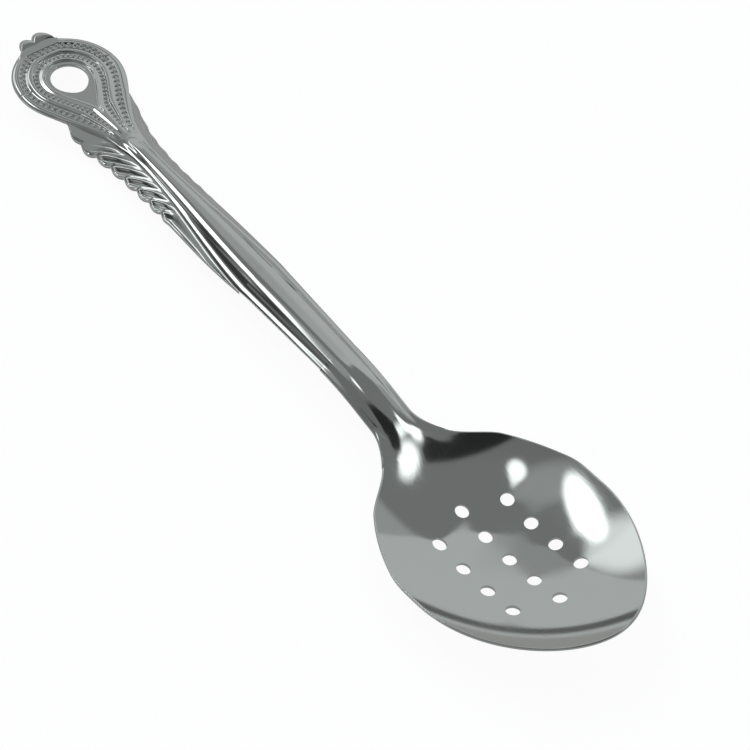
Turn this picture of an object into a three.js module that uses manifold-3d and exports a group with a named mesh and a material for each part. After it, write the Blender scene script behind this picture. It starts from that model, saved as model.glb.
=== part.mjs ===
// A perforated serving spoon of pressed steel sheet: a drained bowl, a crested neck, a stem with a
// raised tongue between two fluted wings, and a teardrop loop head with a hanging eye and a crown.
// Sizes are in millimetres. Each section is drawn with the bowl level: the middle of the drain
// pattern is the origin, +X runs to the bowl's tip and +Z up. The whole is then pitched on to the
// table, where it lies on its belly and on the edges of its wings.
import * as THREE from "three";
import { mergeVertices } from "three/addons/utils/BufferGeometryUtils.js";
import Module from "manifold-3d";

const { degToRad, lerp, smoothstep } = THREE.MathUtils;

// Sheet
const SHEET = 0.8;
const EDGE_DROP = 0.3;

// Bowl: its outline passes the widest line, a shoulder and a waist before it meets the neck
const BOWL_HALF_WIDTH = 29.3;
const BOWL_FRONT = 36.1;
const BOWL_BACK = 34;
const BOWL_TIP_TAPER = 0.2;
const SHOULDER_BACK = 10;
const SHOULDER_HALF_WIDTH = 28.5;
const WAIST_BACK = 25;
const WAIST_HALF_WIDTH = 20.7;
const BOWL_BACK_HALF_WIDTH = 10.2;
const DISH_LOW_POINT = 3;
const DISH_RADIUS_LONG = 65.5;
const DISH_RADIUS_CROSS = 58.4;
const BELLY_FLAT_DEPTH = 0.12;

// Drain holes
const DRAIN_DIAMETER = 3.4;
const DRAIN_PITCH = 8.3;
const DRAIN_ROW_SPACING = 10.9;
const DRAIN_ROWS = [4, 5, 4];

// Neck
const NECK_LENGTH = 28;
const NECK_BEND = 6;
const NECK_FLARE = 9;
const NECK_HALF_WIDTH = 6.0;

// Stem
const STEM_LENGTH = 86;
const STEM_TILT = degToRad(10.8);
const STEM_RISE = 22.1;
const STEM_CROWN = 1.9;
const STEM_HALF_WIDTH = 6.07;
const STEM_HALF_WIDTH_AT_WINGS = 7.2;
const TONGUE_NOSE = 1.8;
const TONGUE_NOSE_HALF_WIDTH = 1.4;
const TONGUE_HALF_WIDTH = 4.0;
const GROOVE_DEPTH = 0.6;
const GROOVE_FADE = 40;

// Wings
const WING_LENGTH = 56;
const WING_WIDTH = 4.6;
const WING_TAPER = 1.6;
const WING_SLOPE_AT_START = 2.2;
const WING_SLOPE = 1.12;
const WING_SLOPE_AT_END = 0.68;
const FLUTES = 8;
const FLUTE_PITCH = 5.2;
const FLUTE_HEIGHT = 0.4;
const FLUTE_SWEEP = 1.6;
const SCALLOP_DEPTH = 0.5;

// Loop head
const LOOP_RADIUS = 15.2;
const LOOP_FLARE = 3;
const LOOP_TAPER = 23;
const LOOP_TIP_HALF_WIDTH = 3.8;
const LOOP_TIP_SLOPE = -0.12;
const CROWN_SEAT = 14;
const FIELD_RADIUS = 6.2;
const FIELD_FLARE = 1.5;
const FIELD_TIP = 13;
const FIELD_DEPTH = 0.5;
const EYE_RADIUS = 5.0;
const EYE_POINT = 0.5;
const RIDGE_HEIGHT = 0.15;
const BEAD_CHANNEL_DEPTH = 0.3;

// Crown
const LOBE_REACH = 2.0;
const LARGE_LOBE_RADIUS = 2.9;
const LARGE_LOBE_OFFSET = 2.4;
const SMALL_LOBE_RADIUS = 2.4;
const SMALL_LOBE_OFFSET = 2.5;

// Planes where the sections meet, and other places along the middle line
const NECK_PLANE = -BOWL_BACK;
const FLARE_END_X = NECK_PLANE - NECK_FLARE;
const BEND_X = NECK_PLANE - NECK_BEND;
const STEM_PLANE = NECK_PLANE - NECK_LENGTH;
const HEAD_PLANE = STEM_PLANE - STEM_LENGTH;
const TONGUE_NOSE_X = HEAD_PLANE + TONGUE_NOSE;
const WING_END_X = HEAD_PLANE + WING_LENGTH;
const LOOP_TAPER_X = HEAD_PLANE - LOOP_TAPER;
const LOOP_CENTRE_X = LOOP_TAPER_X - LOOP_FLARE;
const CROWN_PLANE = LOOP_CENTRE_X - CROWN_SEAT;
const FIELD_FLARE_X = LOOP_CENTRE_X + FIELD_FLARE;
const FIELD_TIP_X = LOOP_CENTRE_X + FIELD_TIP;
const WING_START_X = FIELD_TIP_X;
const FLUTE_END_X = WING_START_X + FLUTES * FLUTE_PITCH;

// Fineness of the grids
const ROW_STEP = FLUTE_PITCH / 4;
const BOWL_ROW_STEP = 2.6;
const BOWL_FRONT_ROWS = 14;
const HALF_COLUMNS = 8;
const LOOP_ANGLE_STEP = degToRad(10);
const DRAIN_SIDES = 20;

// A cubic from one end, with its slope there, to the other end with its slope
function hermite(x, [x0, y0, slope0], [x1, y1, slope1]) {
  const span = x1 - x0;
  const t = (x - x0) / span;
  const bend = (1 - t) * (1 - t) * t * slope0 - t * t * (1 - t) * slope1;
  return y0 + (y1 - y0) * t * t * (3 - 2 * t) + bend * span;
}

// Evenly spaced values from one end to the other, no further apart than the step
function stations(from, to, step) {
  const count = Math.max(2, Math.ceil(Math.abs(to - from) / step - 1e-6));
  return Array.from({ length: count + 1 }, (_, i) => lerp(from, to, i / count));
}

// Shares from -1 to 1 made from shares from 0 to 1
function bothSides(shares) {
  return [...shares.slice(1).reverse().map((share) => -share), ...shares];
}

// Rows that the wings share with the loop and with the stem
const LOOP_ROWS = stations(WING_START_X, HEAD_PLANE, ROW_STEP);
const WINGED_ROWS = stations(HEAD_PLANE, WING_END_X, ROW_STEP);

// Outline of the bowl, the neck and the stem
const OUTLINE = [
  [0, BOWL_HALF_WIDTH],
  [-SHOULDER_BACK, SHOULDER_HALF_WIDTH],
  [-WAIST_BACK, WAIST_HALF_WIDTH],
  [NECK_PLANE, BOWL_BACK_HALF_WIDTH],
  [FLARE_END_X, NECK_HALF_WIDTH],
];

function outlinePoint(index) {
  const before = OUTLINE[index - 1];
  const after = OUTLINE[index + 1];
  const slope = before && after ? (after[1] - before[1]) / (after[0] - before[0]) : 0;
  return [...OUTLINE[index], slope];
}

function halfWidth(x) {
  if (x >= 0) {
    const q = Math.min(1, x / BOWL_FRONT);
    return BOWL_HALF_WIDTH * Math.sqrt(1 - q * q) * (1 - BOWL_TIP_TAPER * q * q);
  }
  const next = OUTLINE.findIndex(([px]) => px <= x);
  if (next > 0) return hermite(x, outlinePoint(next - 1), outlinePoint(next));
  if (x > STEM_PLANE) {
    return lerp(NECK_HALF_WIDTH, STEM_HALF_WIDTH, (FLARE_END_X - x) / (FLARE_END_X - STEM_PLANE));
  }
  return lerp(STEM_HALF_WIDTH, STEM_HALF_WIDTH_AT_WINGS, (STEM_PLANE - x) / (STEM_PLANE - WING_END_X));
}

// Height of the sheet's top along the middle line
function dishHeight(x) {
  return (x - DISH_LOW_POINT) ** 2 / (2 * DISH_RADIUS_LONG);
}

function crestHeight(x) {
  if (x > BEND_X) return dishHeight(x);
  if (x < STEM_PLANE) return STEM_RISE + (STEM_PLANE - x) * Math.tan(STEM_TILT);
  const bendSlope = (BEND_X - DISH_LOW_POINT) / DISH_RADIUS_LONG;
  return hermite(x, [BEND_X, dishHeight(BEND_X), bendSlope], [STEM_PLANE, STEM_RISE, -Math.tan(STEM_TILT)]);
}

// Top of the bowl and the neck: a dish that turns into a crested strip behind its shoulders
function bowlHeight(x, y) {
  const hollow = smoothstep(x, FLARE_END_X, NECK_PLANE);
  const crowned = 1 - smoothstep(x, lerp(NECK_PLANE, STEM_PLANE, 0.5), NECK_PLANE + NECK_BEND);
  const share = Math.abs(y) / Math.max(halfWidth(x), SHEET / 1000);
  return crestHeight(x) + hollow * y ** 2 / (2 * DISH_RADIUS_CROSS) - STEM_CROWN * crowned * share ** 3;
}

// Outline of the teardrop loop, from its crown to its tip
function loopHalfWidth(x) {
  if (x <= LOOP_TAPER_X) return Math.sqrt(LOOP_RADIUS ** 2 - (x - LOOP_CENTRE_X) ** 2);
  const flareHalfWidth = Math.sqrt(LOOP_RADIUS ** 2 - LOOP_FLARE ** 2);
  const flare = [LOOP_TAPER_X, flareHalfWidth, -LOOP_FLARE / flareHalfWidth];
  return hermite(x, flare, [HEAD_PLANE, LOOP_TIP_HALF_WIDTH, LOOP_TIP_SLOPE]);
}

// Line between the stem and a wing: the loop's own outline, then a spread to the stem's edge
function borderHalfWidth(x) {
  if (x < HEAD_PLANE) return loopHalfWidth(x);
  if (x > WING_END_X) return halfWidth(x);
  const spread = (STEM_HALF_WIDTH_AT_WINGS - LOOP_TIP_HALF_WIDTH) / WING_LENGTH;
  const end = [WING_END_X, STEM_HALF_WIDTH_AT_WINGS, 1.5 * spread];
  return hermite(x, [HEAD_PLANE, LOOP_TIP_HALF_WIDTH, LOOP_TIP_SLOPE], end);
}

function alongWing(x) {
  return smoothstep(x, lerp(HEAD_PLANE, WING_END_X, 0.3), WING_END_X);
}

function borderDrop(x) {
  return lerp(EDGE_DROP, STEM_CROWN, alongWing(x));
}

// Top of the stem at a share of its half width: tongue, groove and border ridge
function tongueShare(x) {
  const along = (STEM_PLANE - x) / STEM_LENGTH;
  return lerp(TONGUE_HALF_WIDTH, TONGUE_NOSE_HALF_WIDTH, along) / borderHalfWidth(x);
}

function stemHeight(x, share) {
  const tongue = tongueShare(x);
  const nose = smoothstep(x, TONGUE_NOSE_X - TONGUE_NOSE / 2, TONGUE_NOSE_X + TONGUE_NOSE / 2);
  const beside = lerp(1, smoothstep(share, tongue, lerp(tongue, 1, 0.3)), nose);
  const inside = 1 - smoothstep(share, lerp(tongue, 1, 0.6), 1);
  const fade = 1 - smoothstep(x, STEM_PLANE - GROOVE_FADE, STEM_PLANE);
  return crestHeight(x) - borderDrop(x) * share ** 3 - GROOVE_DEPTH * fade * beside * inside;
}

// Flutes of a wing: how strong they are, and their wave along a line that sweeps inward
function fluteStrength(x) {
  const rise = smoothstep(x, WING_START_X, WING_START_X + FLUTE_PITCH);
  return rise * (1 - smoothstep(x, FLUTE_END_X - FLUTE_PITCH, FLUTE_END_X));
}

function fluteWave(x, inward) {
  const along = x - WING_START_X - FLUTE_SWEEP * inward;
  return Math.abs(Math.sin((Math.PI * along) / FLUTE_PITCH));
}

function wingWidth(x) {
  const before = Math.max(0, (HEAD_PLANE - x) / (HEAD_PLANE - WING_START_X));
  const grow = 1 - before ** 2;
  const along = Math.max(0, (x - HEAD_PLANE) / WING_LENGTH);
  const scallop = SCALLOP_DEPTH * fluteStrength(x) * (fluteWave(x, 0) - 0.5);
  return Math.max(0, WING_WIDTH * grow * (1 - along ** WING_TAPER) + scallop * grow);
}

function wingSlope(x) {
  const start = lerp(WING_SLOPE_AT_START, WING_SLOPE, smoothstep(x, WING_START_X, HEAD_PLANE));
  const ease = smoothstep(x, FLUTE_END_X - 3 * FLUTE_PITCH, FLUTE_END_X + FLUTE_PITCH);
  return lerp(start, WING_SLOPE_AT_END, ease);
}

// A closed solid of the sheet's thickness under grids of [x, y, z] points of its top face
function sheetGeometry(...grids) {
  const places = new Map();
  const top = [];
  const faces = [];
  const indexOf = (point) => {
    const key = point.slice(0, 2).map((value) => Math.round(value * 1e4)).join(" ");
    if (!places.has(key)) places.set(key, top.push(point) - 1);
    return places.get(key);
  };
  const addFace = (a, b, c) => {
    if (a === b || b === c || c === a) return;
    const [p, q, r] = [top[a], top[b], top[c]];
    const turn = (q[0] - p[0]) * (r[1] - p[1]) - (q[1] - p[1]) * (r[0] - p[0]);
    faces.push(turn > 0 ? [a, b, c] : [a, c, b]);
  };
  for (const grid of grids) {
    for (let i = 0; i + 1 < grid.length; i++) {
      for (let j = 0; j + 1 < grid[i].length; j++) {
        const corners = [grid[i][j], grid[i + 1][j], grid[i + 1][j + 1], grid[i][j + 1]];
        const [a, b, c, d] = corners.map(indexOf);
        addFace(a, b, c);
        addFace(a, c, d);
      }
    }
  }
  const edges = new Set(faces.flatMap(([a, b, c]) => [`${a} ${b}`, `${b} ${c}`, `${c} ${a}`]));
  const under = top.length;
  const triangles = [];
  for (const [a, b, c] of faces) {
    triangles.push(a, b, c, a + under, c + under, b + under);
    for (const [m, n] of [[a, b], [b, c], [c, a]]) {
      if (!edges.has(`${n} ${m}`)) triangles.push(m, m + under, n + under, m, n + under, n);
    }
  }
  const bottom = top.map(([x, y, z]) => [x, y, z - SHEET]);
  const geometry = new THREE.BufferGeometry();
  geometry.setAttribute("position", new THREE.Float32BufferAttribute([...top, ...bottom].flat(), 3));
  geometry.setIndex(triangles);
  return geometry;
}

// Grids of the bowl and the neck
const SHARES = bothSides(stations(0, 1, 1 / HALF_COLUMNS));

function bowlRow(x) {
  return SHARES.map((share) => {
    const y = share * halfWidth(x);
    return [x, y, bowlHeight(x, y)];
  });
}

function bowlGrid() {
  const turns = stations(0, Math.PI / 2, Math.PI / 2 / BOWL_FRONT_ROWS);
  const front = turns.map((turn) => BOWL_FRONT * Math.sin(turn));
  return [...stations(NECK_PLANE, 0, BOWL_ROW_STEP).slice(0, -1), ...front].map(bowlRow);
}

function neckGrid() {
  return stations(STEM_PLANE, NECK_PLANE, 0.8 * BOWL_ROW_STEP).map(bowlRow);
}

// Grid of the stem
function stemGrid() {
  const plain = stations(WING_END_X, STEM_PLANE, 2 * ROW_STEP).slice(1);
  return [...WINGED_ROWS, ...plain].map((x) => {
    const tongue = tongueShare(x);
    const shares = bothSides([0, 0.6 * tongue, ...[0, 0.3, 0.6, 1].map((share) => lerp(tongue, 1, share))]);
    return shares.map((share) => [x, share * borderHalfWidth(x), stemHeight(x, Math.abs(share))]);
  });
}

// Grid of a wing: side is 1 on the far side of the middle line and -1 on the near side
function wingGrid(side) {
  return [...LOOP_ROWS, ...WINGED_ROWS.slice(1)].map((x) => {
    const width = wingWidth(x);
    const slope = wingSlope(x);
    return stations(0, 1, 0.25).map((share) => {
      const flute = FLUTE_HEIGHT * fluteStrength(x) * share * fluteWave(x, width * (1 - share));
      const z = crestHeight(x) - borderDrop(x) - width * share * slope + Math.min(1, width / SHEET) * flute;
      return [x, side * (borderHalfWidth(x) + width * share), z];
    });
  });
}

// Relief across the loop's band, from its outer edge in: rim, channel, ridge, channel, inner rim
const BAND_RELIEF = [
  [0, -EDGE_DROP],
  [0.06, 0],
  [0.2, 0],
  [0.25, -BEAD_CHANNEL_DEPTH],
  [0.4, -BEAD_CHANNEL_DEPTH],
  [0.45, RIDGE_HEIGHT],
  [0.62, RIDGE_HEIGHT],
  [0.67, -BEAD_CHANNEL_DEPTH],
  [0.84, -BEAD_CHANNEL_DEPTH],
  [0.9, 0],
  [1, -FIELD_DEPTH],
];

function fieldPoint(angle) {
  return [LOOP_CENTRE_X - FIELD_RADIUS * Math.cos(angle), FIELD_RADIUS * Math.sin(angle)];
}

function fieldHalfWidth(x) {
  const flareHalfWidth = Math.sqrt(FIELD_RADIUS ** 2 - FIELD_FLARE ** 2);
  const flare = [FIELD_FLARE_X, flareHalfWidth, -FIELD_FLARE / flareHalfWidth];
  return hermite(x, flare, [FIELD_TIP_X, 0, -FIELD_RADIUS / FIELD_TIP]);
}

// Outer and inner points along the far half of the band, from the crown's seat to the tip
function bandPairs() {
  const seat = loopHalfWidth(CROWN_PLANE);
  const seatAngle = Math.asin(seat / LOOP_RADIUS);
  const loopEnd = Math.PI / 2 + Math.asin(LOOP_FLARE / LOOP_RADIUS);
  const fieldEnd = Math.PI / 2 + Math.asin(FIELD_FLARE / FIELD_RADIUS);
  const flat = stations(0, 1, 0.34).slice(0, -1).map((share) => ({
    outer: [CROWN_PLANE, share * seat],
    inner: fieldPoint(share * seatAngle),
  }));
  const round = stations(0, 1, LOOP_ANGLE_STEP / (loopEnd - seatAngle)).map((share) => {
    const angle = lerp(seatAngle, loopEnd, share);
    return {
      outer: [LOOP_CENTRE_X - LOOP_RADIUS * Math.cos(angle), LOOP_RADIUS * Math.sin(angle)],
      inner: fieldPoint(lerp(seatAngle, fieldEnd, share)),
    };
  });
  const taper = stations(LOOP_TAPER_X, FIELD_TIP_X, ROW_STEP).slice(1).map((x) => {
    const innerX = lerp(FIELD_FLARE_X, FIELD_TIP_X, (x - LOOP_TAPER_X) / (FIELD_TIP_X - LOOP_TAPER_X));
    return { outer: [x, loopHalfWidth(x)], inner: [innerX, fieldHalfWidth(innerX)] };
  });
  const pastTheField = LOOP_ROWS.slice(1).map((x) => ({ outer: [x, loopHalfWidth(x)], inner: [x, 0] }));
  return { roundTheField: [...flat, ...round, ...taper], pastTheField };
}

function bandGrid(side) {
  const { roundTheField, pastTheField } = bandPairs();
  return [...roundTheField, ...pastTheField].map(({ outer, inner }) => {
    return BAND_RELIEF.map(([share, relief]) => {
      const x = lerp(outer[0], inner[0], share);
      return [x, side * lerp(outer[1], inner[1], share), crestHeight(x) + relief];
    });
  });
}

function fieldGrid(side) {
  return bandPairs().roundTheField.map(({ inner }) => {
    const angle = Math.atan2(inner[1], inner[0] - LOOP_CENTRE_X);
    const radius = EYE_RADIUS + EYE_POINT * Math.max(0, Math.cos(angle)) ** 8;
    const eye = [LOOP_CENTRE_X + radius * Math.cos(angle), radius * Math.sin(angle)];
    return [0, 0.5, 1].map((share) => {
      const x = lerp(inner[0], eye[0], share);
      return [x, side * lerp(inner[1], eye[1], share), crestHeight(x) - FIELD_DEPTH];
    });
  });
}

// Grid of the crown: two round lobes of unlike size on one straight root
function crownGrid() {
  const seat = loopHalfWidth(CROWN_PLANE);
  const reach = (y) => {
    const large = LARGE_LOBE_RADIUS ** 2 - (y - LARGE_LOBE_OFFSET) ** 2;
    const small = SMALL_LOBE_RADIUS ** 2 - (y + SMALL_LOBE_OFFSET) ** 2;
    return LOBE_REACH * (1 - (y / seat) ** 4) + Math.sqrt(Math.max(0, large, small));
  };
  return stations(-seat, seat, SHEET / 2).map((y) => stations(0, 1, 0.25).map((share) => {
    const x = CROWN_PLANE - share * reach(y);
    return [x, y, crestHeight(x) - EDGE_DROP * share ** 4];
  }));
}

// Resting place: pitched until the flat of the belly and the wings' edges touch the table
function restPose() {
  const wing = wingGrid(1).map((row) => row.at(-1)).map(([x, , z]) => [x, z - SHEET]);
  const bellyRows = stations(NECK_PLANE, BOWL_FRONT, SHEET / 4);
  const belly = bellyRows.map((x) => [x, dishHeight(x) - SHEET + BELLY_FLAT_DEPTH]);
  let pitch = STEM_TILT;
  let table = 0;
  for (let pass = 0; pass < 10; pass++) {
    const height = ([x, z]) => x * Math.sin(pitch) + z * Math.cos(pitch);
    const low = belly.reduce((best, point) => (height(point) < height(best) ? point : best));
    table = height(low);
    pitch = Math.min(...wing.map(([x, z]) => Math.atan2(z - low[1], low[0] - x)));
  }
  return { pitch, table };
}

// Cutting of closed solids
const wasm = await Module();
wasm.setup();

function toSolid(geometry) {
  const bare = geometry.clone().deleteAttribute("normal").deleteAttribute("uv");
  const merged = mergeVertices(bare);
  return new wasm.Manifold(new wasm.Mesh({
    numProp: 3,
    vertProperties: new Float32Array(merged.getAttribute("position").array),
    triVerts: new Uint32Array(merged.getIndex().array),
  }));
}

function toGeometry(solid) {
  const { vertProperties, triVerts } = solid.getMesh();
  const geometry = new THREE.BufferGeometry();
  geometry.setAttribute("position", new THREE.Float32BufferAttribute(vertProperties, 3));
  geometry.setIndex(Array.from(triVerts));
  return geometry;
}

// Drain holes: straight pins through the dish, in staggered rows
function drainPins() {
  const depth = dishHeight(NECK_PLANE) + 2 * SHEET;
  return DRAIN_ROWS.flatMap((count, row) => Array.from({ length: count }, (_, i) => {
    const pin = new THREE.CylinderGeometry(DRAIN_DIAMETER / 2, DRAIN_DIAMETER / 2, 2 * depth, DRAIN_SIDES);
    const x = (i - (count - 1) / 2) * DRAIN_PITCH;
    const y = (row - (DRAIN_ROWS.length - 1) / 2) * DRAIN_ROW_SPACING;
    return pin.rotateX(Math.PI / 2).translate(x, y, 0);
  }));
}

// The part: every section in one group, laid on the table over the middle of its length
const { pitch, table } = restPose();
const spoon = new THREE.Group();
spoon.rotation.y = -pitch;
spoon.position.z = -table;
spoon.updateMatrix();

function bowlGeometry() {
  const size = 4 * (BOWL_FRONT + BOWL_BACK);
  const tableBlock = new THREE.BoxGeometry(size, size, size).translate(0, 0, -size / 2);
  const cutters = [...drainPins(), tableBlock.applyMatrix4(spoon.matrix.clone().invert())];
  const sheet = toSolid(sheetGeometry(bowlGrid()));
  return toGeometry(cutters.reduce((solid, cutter) => solid.subtract(toSolid(cutter)), sheet));
}

function addSection(name, geometry) {
  const steel = new THREE.MeshStandardMaterial({ color: 0xa3a5a1, metalness: 1, roughness: 0.12 });
  const mesh = new THREE.Mesh(geometry, steel);
  mesh.name = name;
  spoon.add(mesh);
}

addSection("drained_bowl", bowlGeometry());
addSection("neck", sheetGeometry(neckGrid()));
addSection("stem", sheetGeometry(stemGrid()));
addSection("far_wing", sheetGeometry(wingGrid(1)));
addSection("near_wing", sheetGeometry(wingGrid(-1)));
addSection("loop_head", sheetGeometry(bandGrid(1), bandGrid(-1), fieldGrid(1), fieldGrid(-1)));
addSection("crown", sheetGeometry(crownGrid()));

const extent = new THREE.Box3().setFromObject(spoon);
spoon.position.x = -(extent.min.x + extent.max.x) / 2;

const part = new THREE.Group();
part.add(spoon);

export default part;
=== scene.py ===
# %% [markdown]
# # A perforated serving spoon
# The real spoon is one blank of steel sheet that was cut, pierced, pressed and mirror polished. The
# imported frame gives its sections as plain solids. This lesson dresses each section with a finer sheet:
# the dimples that the punch left round the drain holes, the crease of the stem, the flutes of the
# wings and the beads of the loop. Mirror steel has no colour of its own worth the name, so the shape
# of each surface and the room that it reflects make the picture.

import bpy
import numpy as np
from mathutils import Matrix


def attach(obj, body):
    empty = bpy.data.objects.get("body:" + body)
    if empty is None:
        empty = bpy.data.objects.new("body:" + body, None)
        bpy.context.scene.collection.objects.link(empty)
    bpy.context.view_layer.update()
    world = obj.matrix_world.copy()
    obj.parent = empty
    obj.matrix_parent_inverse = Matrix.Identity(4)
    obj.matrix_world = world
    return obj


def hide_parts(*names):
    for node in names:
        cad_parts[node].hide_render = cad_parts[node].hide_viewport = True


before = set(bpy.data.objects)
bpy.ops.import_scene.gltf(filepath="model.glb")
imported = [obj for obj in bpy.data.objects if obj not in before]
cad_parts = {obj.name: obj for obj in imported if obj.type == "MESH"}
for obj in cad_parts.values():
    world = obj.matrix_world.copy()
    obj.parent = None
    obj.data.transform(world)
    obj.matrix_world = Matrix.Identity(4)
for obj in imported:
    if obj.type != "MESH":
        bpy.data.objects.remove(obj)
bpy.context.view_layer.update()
print("sections in the frame:", sorted(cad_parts))

# %% [markdown]
# ## Sizes
# Every section is worked out in millimetres with the bowl level: the middle drain hole is the origin,
# +X runs to the bowl's tip and +Z up. The sizes are those of the solids, so each finer sheet lies where
# its solid lies. At the end the whole is pitched on to the table, as the solids are.

# %% Sizes in millimetres
SHEET = 0.8
BOWL_HALF_WIDTH, BOWL_FRONT, BOWL_TIP_TAPER = 29.3, 36.1, 0.2
OUTLINE_X = np.array([0.0, -10.0, -25.0, -34.0, -43.0])
OUTLINE_Y = np.array([29.3, 28.5, 20.7, 10.2, 6.0])
DISH_LOW_POINT, DISH_RADIUS_LONG, DISH_RADIUS_CROSS = 3.0, 65.5, 58.4
NECK_PLANE, BEND_X, FLARE_END_X, STEM_PLANE = -34.0, -37.0, -43.0, -62.0
STEM_RISE, STEM_SLOPE, STEM_CROWN = 22.1, np.tan(np.radians(10.8)), 1.9
STEM_HALF_WIDTH, WINGS_END_HALF_WIDTH = 6.07, 7.2
WING_END_X, HEAD_PLANE, WING_START_X = -92.0, -148.0, -161.0
LOOP_TAPER_X, LOOP_CENTRE_X, CROWN_PLANE = -171.0, -174.0, -188.0
LOOP_RADIUS, LOOP_TIP_HALF_WIDTH, LOOP_TIP_SLOPE = 15.2, 3.8, -0.12
REST_PITCH = np.radians(12.63359)
REST_SHIFT = np.array([81.50383, 0.0, 1.61289])
MILLIMETRE = 0.001


def to_table(vectors):
    """Turn drawn vectors about Y by the resting pitch."""
    sine, cosine = np.sin(REST_PITCH), np.cos(REST_PITCH)
    return vectors @ np.array([[cosine, 0, sine], [0, 1, 0], [-sine, 0, cosine]])


print("sheet", SHEET, "mm, bowl", 2 * BOWL_HALF_WIDTH, "mm wide")

# %% [markdown]
# ## Curves that several sections share
# Pressed sheet has no hard corners, so everything is made from two curves: an ease from one value to
# another, and a cubic that leaves and arrives with chosen slopes. The outline and the crest line of the
# handle are such cubics end to end.

# %% Curves


def ease(x, low, high):
    """Smooth step 3t^2 - 2t^3, where t runs from 0 at low to 1 at high."""
    t = np.clip((x - low) / (high - low), 0, 1)
    return t * t * (3 - 2 * t)


def mix(a, b, t):
    """Straight blend from a to b."""
    return a + (b - a) * t


def unit(vectors):
    """Vectors scaled to length one."""
    return vectors / np.maximum(np.linalg.norm(vectors, axis=-1, keepdims=True), 1e-12)


def cubic(x, start, end):
    """Hermite cubic between two (place, value, slope) triples."""
    span = end[0] - start[0]
    t = (x - start[0]) / span
    bend = (1 - t) ** 2 * t * start[2] - t * t * (1 - t) * end[2]
    return start[1] + (end[1] - start[1]) * t * t * (3 - 2 * t) + bend * span


OUTLINE_SLOPE = np.zeros(len(OUTLINE_X))
OUTLINE_SLOPE[1:-1] = (OUTLINE_Y[2:] - OUTLINE_Y[:-2]) / (OUTLINE_X[2:] - OUTLINE_X[:-2])


def half_width(x):
    """Half the width of bowl, neck and plain stem: a tapered ellipse in front, cubics behind."""
    q = np.clip(x / BOWL_FRONT, 0, 1)
    front = BOWL_HALF_WIDTH * np.sqrt(1 - q * q) * (1 - BOWL_TIP_TAPER * q * q)
    i = np.clip(np.searchsorted(-OUTLINE_X, -x), 1, len(OUTLINE_X) - 1)
    knots = [np.stack([a[i - 1], a[i]]) for a in (OUTLINE_X, OUTLINE_Y, OUTLINE_SLOPE)]
    back = cubic(x, [k[0] for k in knots], [k[1] for k in knots])
    strip_x = [WING_END_X, STEM_PLANE, FLARE_END_X]
    strip = np.interp(x, strip_x, [WINGS_END_HALF_WIDTH, STEM_HALF_WIDTH, OUTLINE_Y[-1]])
    return np.where(x >= 0, front, np.where(x > FLARE_END_X, back, strip))


def dish_line(x):
    """Middle line of the dish, a parabola."""
    return (x - DISH_LOW_POINT) ** 2 / (2 * DISH_RADIUS_LONG)


def crest_height(x):
    """Height along the middle line: dish, a cubic through the neck, then the straight handle."""
    bend_slope = (BEND_X - DISH_LOW_POINT) / DISH_RADIUS_LONG
    bend = cubic(x, (BEND_X, dish_line(BEND_X), bend_slope), (STEM_PLANE, STEM_RISE, -STEM_SLOPE))
    handle = STEM_RISE + (STEM_PLANE - x) * STEM_SLOPE
    return np.where(x > BEND_X, dish_line(x), np.where(x < STEM_PLANE, handle, bend))


print("crest at the loop's middle:", round(float(crest_height(np.float64(LOOP_CENTRE_X))), 2), "mm")

# %% [markdown]
# ## From grids to closed sheets
# A sheet could be one surface with a Solidify modifier. Here the thickness is worked out with the
# surface, because then its cut edge can be rounded by a half ellipse and the mirror gets exact normals.
# Every piece is a grid of points that runs over the top, round the edge and back underneath. Grids that
# share a line are welded, and the faces of each part are turned to the side of its normals.

# %% Sheet helpers
EDGE_STEPS = 6
WELD_GRAIN = 7919.37


def grid_normals(points):
    """Normals of a grid from its own differences along rows and columns, pointing up."""
    along = np.gradient(points, axis=0, edge_order=2)
    across = np.gradient(points, axis=1, edge_order=2)
    normals = unit(np.cross(along, across))
    return normals * np.where(normals[..., 2:].mean() < 0, -1, 1)


def edge_arc(top, under, out, radius):
    """Half ellipse from a top edge round to the under edge, and its normals."""
    turn = np.linspace(0, np.pi, EDGE_STEPS + 2)[1:-1, None]
    middle, half = ((top + under) / 2)[..., None, :], ((top - under) / 2)[..., None, :]
    depth, out = np.asarray(radius)[..., None, None], out[..., None, :]
    points = middle + np.cos(turn) * half + np.sin(turn) * depth * out
    tall = np.linalg.norm(half, axis=-1, keepdims=True)
    return points, unit(np.cos(turn) * half / tall * depth + np.sin(turn) * out * tall)


def grid_faces(rows, columns, close_columns=False):
    """Quads of a grid of rows and columns, closed across the columns if asked."""
    i, j = np.arange(rows - 1)[:, None], np.arange(columns - (not close_columns))[None, :]
    nxt = (j + 1) % columns
    corners = [i * columns + j, (i + 1) * columns + j, (i + 1) * columns + nxt, i * columns + nxt]
    return np.stack(corners, -1).reshape(-1, 4)


def cap_faces(row_start, across):
    """Ladder of quads between the top half and the under half of one closed cross section."""
    loop = np.roll(np.arange(2 * (across + EDGE_STEPS)), EDGE_STEPS // 2) + row_start
    upper, lower = loop[: across + EDGE_STEPS], loop[across + EDGE_STEPS:][::-1]
    return np.stack([upper[:-1], upper[1:], lower[1:], lower[:-1]], -1)


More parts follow.
